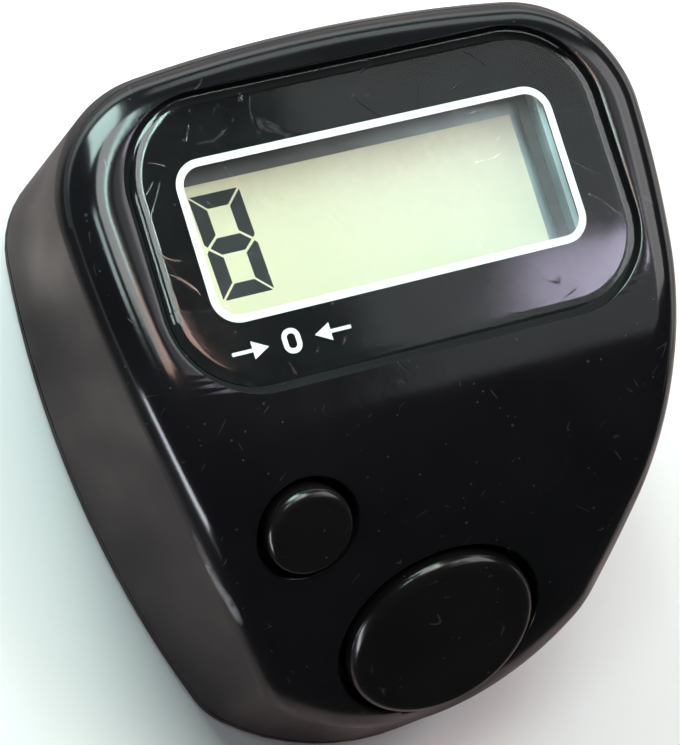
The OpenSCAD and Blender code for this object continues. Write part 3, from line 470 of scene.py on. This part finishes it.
# How much of the pale tone scratches and dust show on plastic
WORN, DUSTY = 0.08, 0.1


def moulded(name, colour, other, rough, rough_to, grain=0.2, walls=0.0, gloss=0.5, wear_and_highlight=()):
    """Moulded plastic with soft grain, fine scratches and dust, and pale worn spots that also paint in a
    highlight.
    """
    mat, nt, sh = material(name)
    cloud = noise(nt, 220, 4)
    tone = mix_colour(nt, spread(nt, cloud, 0.35, 0.68, 0, 1), colour, other)
    lines = scratches(nt, 330, 0.005, (0.3, 0.2, 0.7), 1.3, 0.64)
    marks = larger(nt, lines, scratches(nt, 520, 0.006, (0.1, 0.5, -0.9), 4.1, 0.63))
    dots = larger(nt, specks(nt, 1100, 0.1), specks(nt, 2600, 0.17))
    marred = larger(nt, times(nt, marks, WORN), times(nt, dots, DUSTY))
    light = mix_colour(nt, marred, tone, (0.32, 0.31, 0.3))
    # Pale spots: wear, and a painted highlight along the edge
    for wear_glint in wear_and_highlight:
        light = mix_colour(nt, wear_and_highlight_spot(nt, *wear_glint), light, (0.16, 0.16, 0.165))
    nt.links.new(light, sh.inputs["Base Color"])
    haze = spread(nt, noise(nt, 90, 5), 0.3, 0.75, rough, rough_to)
    haze = plus(nt, haze, times(nt, marred, 0.6))
    if walls:
        facing = nt.nodes.new("ShaderNodeSeparateXYZ")
        nt.links.new(nt.nodes.new("ShaderNodeTexCoord").outputs["Normal"], facing.inputs[0])
        streaks = noise(nt, 150, 2, coords=stretch(nt, (1, 1, 0.35)))
        uneven = spread(nt, streaks, 0.35, 0.65, walls * 0.6, walls * 1.3)
        haze = plus(nt, haze, times(nt, uneven, spread(nt, facing.outputs[2], 0.15, 0.55, 1, 0)))
        haze = larger(nt, haze, times(nt, seat_mask(nt, facing.outputs[1]), 0.95))
    nt.links.new(haze, sh.inputs["Roughness"])
    fine = noise(nt, 2600, 2)
    wavy = noise(nt, 130, 2)
    height = plus(nt, times(nt, fine, grain), times(nt, wavy, 2.0))
    height = minus(nt, height, times(nt, marks, 0.25))
    bump(nt, sh, height, 0.12, 0.0002)
    sh.inputs["Specular IOR Level"].default_value = gloss
    return mat


def dress(obj, mat):
    obj.data.materials.clear()
    obj.data.materials.append(mat)
    return obj


# Pale spots on the case's lower left edge, wear that also paints in the rim's highlight there: place,
# direction and half size in millimetres
WEAR_AND_HIGHLIGHT = (
    ((-12.2, -6.4, 16.4), (0.35, -0.83, -0.44), (3.1, 0.34, 0.34)),
    ((-11.2, -8.4, 15.3), (0.35, -0.74, -0.58), (1.5, 0.3, 0.3)),
)
gloss_black = moulded(
    "case_black_gloss",
    (0.0042, 0.0037, 0.0045),
    (0.0062, 0.0055, 0.0067),
    0.1,
    0.18,
    grain=0.08,
    walls=0.3,
    gloss=0.4,
    wear_and_highlight=WEAR_AND_HIGHLIGHT,
)
dress(shell, gloss_black)
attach(shell, "case")
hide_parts("top_shell")


# Clear panel with a rolled edge
def panel_path(o):
    return round_path(LENS_W - 2 * o, LENS_H - 2 * o, LENS_CORNER - o, 20)


lens_bm = bmesh.new()
levels = [(0.05, LENS_PROUD - LENS_T), (0, LENS_PROUD - LENS_T + 0.05)]
levels += [(0, LENS_PROUD - 0.22), (0.02, LENS_PROUD - 0.16)]
for k in range(LENS_STEPS + 1):
    a = LENS_ROLL_TURN * (1 - k / LENS_STEPS)
    sunk = LENS_ROLL_R * (1 - math.cos(a))
    levels.append((LENS_ROLL_FROM - LENS_ROLL_R * math.sin(a), LENS_PROUD - sunk))
levels += [(1.4, LENS_PROUD)]
plate(lens_bm, panel_path, levels, AT_LENS)
lens = object_from(lens_bm, "clear_window")
smooth(lens, 40)
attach(lens, "case")
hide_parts("lens_panel")

glass, nt, sh = material("clear_window_plastic")
sh.inputs["Metallic"].default_value = 1
sh.inputs["Base Color"].default_value = (0.9, 0.9, 0.9, 1)
lines = scratches(nt, 240, 0.004, (0.3, 0.2, 0.9), 3.7)
marks = larger(nt, lines, scratches(nt, 380, 0.004, (0.1, 0.5, -0.5), 7.1))
dots = larger(nt, specks(nt, 800, 0.16), specks(nt, 1900, 0.18))
marred = larger(nt, times(nt, marks, 0.16), times(nt, dots, 0.3))
haze = spread(nt, noise(nt, 120, 5), 0.3, 0.75, 0.05, 0.14)
nt.links.new(plus(nt, haze, times(nt, marred, 0.5)), sh.inputs["Roughness"])
bump(nt, sh, minus(nt, times(nt, noise(nt, 110, 2), 0.35), marks), 0.06, 0.0002)
fresnel = nt.nodes.new("ShaderNodeFresnel")
fresnel.inputs["IOR"].default_value = 1.49
side = nt.nodes.new("ShaderNodeNewGeometry").outputs["Backfacing"]
gloss = times(nt, fresnel.outputs[0], minus(nt, 1.0, side))
gloss = plus(nt, gloss, times(nt, marred, 0.1))
clear = nt.nodes.new("ShaderNodeBsdfTransparent")
clear.inputs[0].default_value = (0.97, 0.985, 0.98, 1)
mixer = nt.nodes.new("ShaderNodeMixShader")
nt.links.new(gloss, mixer.inputs[0])
nt.links.new(clear.outputs[0], mixer.inputs[1])
nt.links.new(sh.outputs[0], mixer.inputs[2])
nt.links.new(mixer.outputs[0], nt.nodes["Material Output"].inputs["Surface"])
dress(lens, glass)
lens.visible_shadow = False


# Key caps, turned profiles with rolled edges
def turned(profile, at, name, n=128):
    bm = bmesh.new()
    loft(bm, [[at @ p for p in lift(circle_path(r, n), z)] for r, z in profile])
    return object_from(bm, name)


def key_cap(name, at, r, roll, proud, stem, press, flange, node, body_name, flat=None):
    """A hollow cap on a stem, held in by a flange given by its radius, thickness and drop."""
    rim, rim_t, drop = flange
    edge, tall = roll
    under = proud - CAP_T
    high = -WALL - 0.1 - drop
    low = high - rim_t
    profile = [(stem - 0.1, press), (stem, press + 0.1), (stem, under - 0.1), (stem + 0.2, under)]
    profile += [(r - CAP_WALL, under), (r - CAP_WALL, low)]
    profile += [(rim - 0.1, low), (rim, low + 0.1), (rim, high - 0.1), (rim - 0.1, high), (r, high)]
    for k in range(ROLL_STEPS + 1):
        a = math.pi / 2 * k / ROLL_STEPS
        profile.append((r - edge * (1 - math.cos(a)), proud - tall * (1 - math.sin(a)) - CAP_CROWN))
    profile += [((r - edge) * s, proud - CAP_CROWN * s * s) for s in (0.93, 0.8, 0.6, 0.35, 0.08)]
    cap = turned(profile, at, name)
    if flat is not None:
        cut = bmesh.new()
        bmesh.ops.create_cube(cut, size=1)
        side = at @ Matrix.Translation((0, flat - 3, low)) @ Matrix.Diagonal((20, 6, 1.24, 1))
        bmesh.ops.transform(cut, matrix=side, verts=cut.verts)
        carve(cap, object_from(cut, "flange_cut"))
    smooth(cap, 36)
    dress(cap, satin_black)
    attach(cap, body_name)
    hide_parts(node)


satin_black = moulded(
    "key_black_satin", (0.0046, 0.0036, 0.0037), (0.007, 0.0056, 0.0058), 0.16, 0.26, grain=0.15, gloss=0.4
)
count_flange = (COUNT_FLANGE_R, COUNT_FLANGE_T, COUNT_FLANGE_DROP)
key_cap(
    "count_key_cap",
    AT_COUNT,
    COUNT_R,
    COUNT_ROLL,
    COUNT_PROUD,
    COUNT_STEM,
    COUNT_PRESS,
    count_flange,
    "count_button",
    "count_key",
    flat=COUNT_FLAT,
)
reset_flange = (RESET_FLANGE_R, RESET_FLANGE_T, RESET_FLANGE_DROP)
key_cap(
    "reset_key_cap",
    AT_RESET,
    RESET_R,
    RESET_ROLL,
    RESET_PROUD,
    RESET_STEM,
    RESET_PRESS,
    reset_flange,
    "reset_button",
    "reset_key",
)


# Display
def tint_only(name, colour, alpha, rough=0.15):
    """A thin clear layer: mostly see-through, with a little gloss."""
    mat, nt, sh = material(name)
    sh.inputs["Base Color"].default_value = (*colour, 1)
    sh.inputs["Alpha"].default_value = alpha
    nt.links.new(spread(nt, noise(nt, 300, 3), 0.3, 0.7, rough, rough + 0.1), sh.inputs["Roughness"])
    bump(nt, sh, noise(nt, 500, 2), 0.05, 0.0001)
    return mat


def across(nt, low, high, axis=0):
    """Rises from 0 to 1 along one axis of the object at rest."""
    apart = nt.nodes.new("ShaderNodeSeparateXYZ")
    nt.links.new(place(nt), apart.inputs[0])
    return spread(nt, apart.outputs[axis], low, high, 0, 1)


# Painted shade: the reflector is painted darker towards its lower edge; its tone is also yellower at the left
# than at the right
reflector, nt, sh = material("display_reflector")
painted_shade_fade = across(nt, 0.0045, 0.0105, 1)
left_tone = mix_colour(nt, painted_shade_fade, (0.77, 0.68, 0.43), (1, 0.9, 0.6))
right_tone = mix_colour(nt, painted_shade_fade, (0.69, 0.68, 0.53), (0.92, 0.83, 0.7))
side_tone = mix_colour(nt, across(nt, -0.0095, 0.0095), left_tone, right_tone)
grainy = noise(nt, 2400, 2)
tone = mix_colour(nt, spread(nt, grainy, 0.35, 0.65, 0, 0.25), side_tone, (0.7, 0.7, 0.52))
nt.links.new(tone, sh.inputs["Base Color"])
nt.links.new(spread(nt, noise(nt, 600, 2), 0.3, 0.7, 0.5, 0.65), sh.inputs["Roughness"])
bump(nt, sh, grainy, 0.2, 0.00005)
dress(nodes["lcd_reflector"], reflector)
dress(nodes["lcd_front_polarizer"], tint_only("polarizer_film", (0.3, 0.3, 0.28), 0.02))
GLASSES = ("lcd_front_glass", "lcd_rear_glass")
for n in GLASSES:
    dress(nodes[n], tint_only("display_glass_" + n[4:8].strip("_"), (0.4, 0.44, 0.42), 0.02))
for n in (*GLASSES, "lcd_front_polarizer", "lcd_segments", "lens_mask", "window_border", "lens_tape"):
    nodes[n].visible_shadow = False

# Painted light on the holder, which shows only in the bands round the display: dark at the left as painted
# shade, pale blue towards the right and brighter towards the top as painted glare, with random grain
holder, nt, sh = material("holder_painted_glare")
painted_glare = mix_colour(nt, across(nt, 0.0075, 0.0125, 1), (0.32, 0.39, 0.42), (0.62, 0.75, 0.8))
painted_shade_and_glare = mix_colour(nt, across(nt, 0, 0.0095), (0.08, 0.082, 0.088), painted_glare)
tone = mix_colour(nt, spread(nt, noise(nt, 500, 3), 0.35, 0.65, 0, 0.3), painted_shade_and_glare, (0.1, 0.11, 0.12))
nt.links.new(tone, sh.inputs["Base Color"])
nt.links.new(spread(nt, noise(nt, 600, 2), 0.3, 0.7, 0.5, 0.65), sh.inputs["Roughness"])
bump(nt, sh, noise(nt, 1500, 2), 0.1, 0.0001)


def plain(name, colour, other, rough, metal=0.0, scale=1.0, height=0.1, gloss=0.5):
    """A painted, printed, metal or rubber finish with its own tone and grain."""
    mat, nt, sh = material(name)
    cloud = spread(nt, noise(nt, 700 * scale, 4), 0.35, 0.65, 0, 1)
    nt.links.new(mix_colour(nt, cloud, colour, other), sh.inputs["Base Color"])
    haze = spread(nt, noise(nt, 400 * scale, 3), 0.3, 0.7, rough * 0.85, min(1, rough * 1.15))
    nt.links.new(haze, sh.inputs["Roughness"])
    sh.inputs["Metallic"].default_value = metal
    sh.inputs["Specular IOR Level"].default_value = gloss
    bump(nt, sh, noise(nt, 1800 * scale, 2), height, 0.0001)
    return mat


def brushed(name, colour, other, rough, turn=(0, 0, 0)):
    """Rolled or plated metal with fine directional lines."""
    mat, nt, sh = material(name)
    lines = noise(nt, 500, 3, coords=stretch(nt, (1, 12, 1), turn))
    nt.links.new(mix_colour(nt, spread(nt, lines, 0.3, 0.7, 0, 1), colour, other), sh.inputs["Base Color"])
    nt.links.new(spread(nt, lines, 0.3, 0.7, rough * 0.8, rough * 1.3), sh.inputs["Roughness"])
    sh.inputs["Metallic"].default_value = 1
    bump(nt, sh, lines, 0.15, 0.0001)
    return mat


FINISH = {
    "black_print": plain("print_black", (0.006, 0.006, 0.0065), (0.009, 0.009, 0.0095), 0.4, gloss=0),
    "white_print": plain("print_white", (0.8, 0.82, 0.82), (0.72, 0.74, 0.74), 0.5, gloss=0),
    "black_tape": plain("tape_black", (0.015, 0.015, 0.015), (0.022, 0.022, 0.022), 0.8),
    "display_ink": plain("figure_grey", (0.02, 0.0205, 0.023), (0.03, 0.031, 0.034), 0.5, gloss=0),
    "display_seal": plain("seal_grey", (0.05, 0.05, 0.052), (0.065, 0.065, 0.068), 0.5),
    "holder_plastic": holder,
    "contact_rubber": plain("contact_strip", (0.06, 0.06, 0.065), (0.09, 0.09, 0.095), 0.8),
    "board_laminate": plain("board_green", (0.02, 0.12, 0.05), (0.03, 0.16, 0.07), 0.35),
    "epoxy": plain("chip_epoxy", (0.01, 0.01, 0.01), (0.02, 0.02, 0.02), 0.3),
    "tinned_metal": brushed("tinned", (0.6, 0.61, 0.62), (0.7, 0.7, 0.71), 0.3),
    "ceramic_chip": plain("ceramic", (0.35, 0.24, 0.14), (0.42, 0.3, 0.18), 0.5),
    "screw_steel": brushed("screw_steel_plated", (0.5, 0.5, 0.51), (0.6, 0.6, 0.6), 0.32),
    "frame_plastic": moulded("key_frame_plastic", (0.5, 0.5, 0.47), (0.55, 0.55, 0.52), 0.45, 0.55),
    "plunger_plastic": moulded("plunger_white", (0.7, 0.7, 0.66), (0.76, 0.76, 0.72), 0.4, 0.5),
    "switch_plastic": plain("switch_black", (0.02, 0.02, 0.02), (0.03, 0.03, 0.03), 0.5),
    "red_wire": plain("wire_red", (0.5, 0.03, 0.02), (0.56, 0.04, 0.03), 0.4),
    "yellow_wire": plain("wire_yellow", (0.7, 0.5, 0.04), (0.76, 0.56, 0.06), 0.4),
    "black_wire": plain("wire_black", (0.015, 0.015, 0.015), (0.022, 0.022, 0.022), 0.4),
    "cell_metal": brushed("cell_steel", (0.6, 0.6, 0.61), (0.7, 0.7, 0.7), 0.25),
    "gasket_plastic": plain("gasket", (0.05, 0.12, 0.05), (0.06, 0.14, 0.06), 0.5),
    "contact_brass": brushed("brass_plated", (0.6, 0.5, 0.28), (0.68, 0.58, 0.34), 0.3),
    "seal_rubber": plain("rubber_ring", (0.02, 0.02, 0.02), (0.03, 0.03, 0.03), 0.75),
    "case_plastic": gloss_black,
    "door_plastic": moulded("door_black", (0.013, 0.013, 0.014), (0.02, 0.02, 0.022), 0.28, 0.4, grain=0.5),
}
dressed = {"lcd_reflector", "lcd_front_polarizer", *GLASSES}
for entry in frame["record"]["subparts"]:
    if entry["node"] not in dressed and entry["material_slot"] in FINISH:
        dress(nodes[entry["node"]], FINISH[entry["material_slot"]])

# Floor, open under the case so that the back can be looked at from below
def level_sheet(name, half, z):
    bm = bmesh.new()
    rim = [Vector((half * i, half * j, 0)) for i, j in ((-1, -1), (1, -1), (1, 1), (-1, 1))]
    for path in (rim, wall_ring(0, 0.6)):
        row = [bm.verts.new((p.x, p.y, z)) for p in path]
        for a, b in zip(row, row[1:] + row[:1]):
            bm.edges.new((a, b))
    bmesh.ops.triangle_fill(bm, edges=bm.edges, use_beauty=True)
    bmesh.ops.recalc_face_normals(bm, faces=bm.faces)
    if bm.faces[:][0].normal.z < 0:
        bmesh.ops.reverse_faces(bm, faces=bm.faces)
    return bm


floor = object_from(level_sheet("floor", 600, -0.02), "floor")
floor_mat, nt, sh = material("floor_pale")
sh.inputs["Base Color"].default_value = (0.94, 0.89, 0.885, 1)
sh.inputs["Specular IOR Level"].default_value = 0.1
sh.inputs["Roughness"].default_value = 0.9
dress(floor, floor_mat)

# World
world = bpy.data.worlds.new("studio")
bpy.context.scene.world = world
world.use_nodes = True
world.node_tree.nodes["Background"].inputs[0].default_value = (0.9, 0.93, 1, 1)
world.node_tree.nodes["Background"].inputs[1].default_value = 0.05


def lamp(name, low, high, z, radiance, colour=(1, 1, 1)):
    """A level softbox over the scene, given by its low and high corners in millimetres."""
    data = bpy.data.lights.new(name, "AREA")
    data.shape = "RECTANGLE"
    data.size, data.size_y = (high[0] - low[0]) * MM, (high[1] - low[1]) * MM
    data.energy = radiance * math.pi * data.size * data.size_y
    data.color = colour
    obj = bpy.data.objects.new(name, data)
    obj.location = Vector(((low[0] + high[0]) / 2, (low[1] + high[1]) / 2, z)) * MM
    bpy.context.scene.collection.objects.link(obj)
    return obj


def wall_lamp(name, place_, size, radiance, colour=(1, 1, 1)):
    """An upright softbox that faces the object, with its long edges level."""
    obj = lamp(name, (0, 0), size, 0, radiance, colour)
    obj.location = Vector(place_) * MM
    way = Vector(place_) - Vector((0, 0, 10))
    side = Vector((0, 0, 1)).cross(way).normalized()
    rise = way.normalized().cross(side)
    turn_ = Matrix((side, rise, way.normalized())).transposed()
    obj.rotation_euler = turn_.to_euler()
    return obj


lamp("main_light", (-50, 62), (28, 250), 230, 8, (0.92, 1, 0.98))
lamp("aqua_light", (28, 78), (46, 250), 230, 24, (0.7, 1, 0.95))
lamp("left_light", (-128, 58), (-86, 104), 230, 11, (0.8, 0.98, 1))
lamp("blush_light", (-12, 42), (48, 61), 230, 9, (1, 0.64, 0.52))
lamp("ember_light", (28, 61), (58, 76), 230, 12, (1, 0.64, 0.54))
lamp("right_light", (60, -45), (150, 82), 170, 1.0, (0.96, 1, 0.99))
lamp("glint_light", (75.5, 34), (96, 50.5), 165, 13.5, (0.82, 0.75, 1))
wall_lamp("side_light", (235, 60, 200), (180, 150), 3.6)
wall_lamp("back_light", (140, 220, 70), (200, 60), 2.4, (0.9, 1, 0.98))
wall_lamp("window_light", (-60, 226, 112), (96, 160), 18, (0.72, 1, 0.95))
wall_lamp("horizon_light", (-250, -135, 28), (200, 44), 15, (0.88, 0.92, 1))

under = lamp("under_light", (-150, -150), (150, 150), -160, 2.5)
under.rotation_euler = (math.pi, 0, 0)

# Cards that only reflections see, painting shade into them: dark ones before the key slope and on the floor,
# and a mottled brown one round the case as painted shade of the floor that the walls mirror
def card(name, colour, other, place_, half, turn_=0.0):
    bm = bmesh.new()
    bmesh.ops.create_grid(bm, x_segments=1, y_segments=1, size=1)
    bm.transform(Matrix.Translation(place_) @ Matrix.Rotation(turn_, 4, "X") @ Matrix.Diagonal((*half, 1, 1)))
    sheet = dress(object_from(bm, name), plain(name + "_painted_shade", colour, other, 0.9, scale=0.22))
    sheet.visible_camera = sheet.visible_shadow = sheet.visible_diffuse = False


card("slope_card", (0.01, 0.01, 0.01), (0.012, 0.012, 0.012), (60, -95, 27), (130, 25), math.pi / 2)
card("left_card", (0.01, 0.01, 0.01), (0.012, 0.012, 0.012), (-85, -25, 0.09), (53, 95))
card("front_card", (0.01, 0.01, 0.01), (0.012, 0.012, 0.012), (65, -130, 0.12), (125, 100))
card("near_card", (0.17, 0.13, 0.135), (0.7, 0.52, 0.51), (0, 0, 0.03), (80, 80))

# Camera, fitted to the photograph
A, B, ROLL, D, TX, TY, F = 0.371, 0.003, 0.248, 176.955, -2.963, -0.116, 3300
eye = Vector((-math.sin(A), -math.sin(B), math.sqrt(1 - math.sin(A) ** 2 - math.sin(B) ** 2)))
right = Vector((0, 1, 0)).cross(eye).normalized()
up = eye.cross(right)
turn = Matrix(((math.cos(ROLL), -math.sin(ROLL), 0), (math.sin(ROLL), math.cos(ROLL), 0), (0, 0, 1)))
R = turn @ Matrix((right, up, eye))
cam_data = bpy.data.cameras.new("camera")
cam = bpy.data.objects.new("camera", cam_data)
bpy.context.scene.collection.objects.link(cam)
spot = R.transposed() @ Vector((-TX, -TY, D)) + Vector((0, 1.964, 0))
cam.matrix_world = Matrix.Translation(spot * MM) @ R.transposed().to_4x4()
cam_data.sensor_fit = "VERTICAL"
cam_data.sensor_height = 24
cam_data.lens = F / 745 * cam_data.sensor_height
cam_data.clip_start, cam_data.clip_end = 0.005, 5
bpy.context.scene.camera = cam
bpy.context.scene.view_settings.view_transform = "Standard"
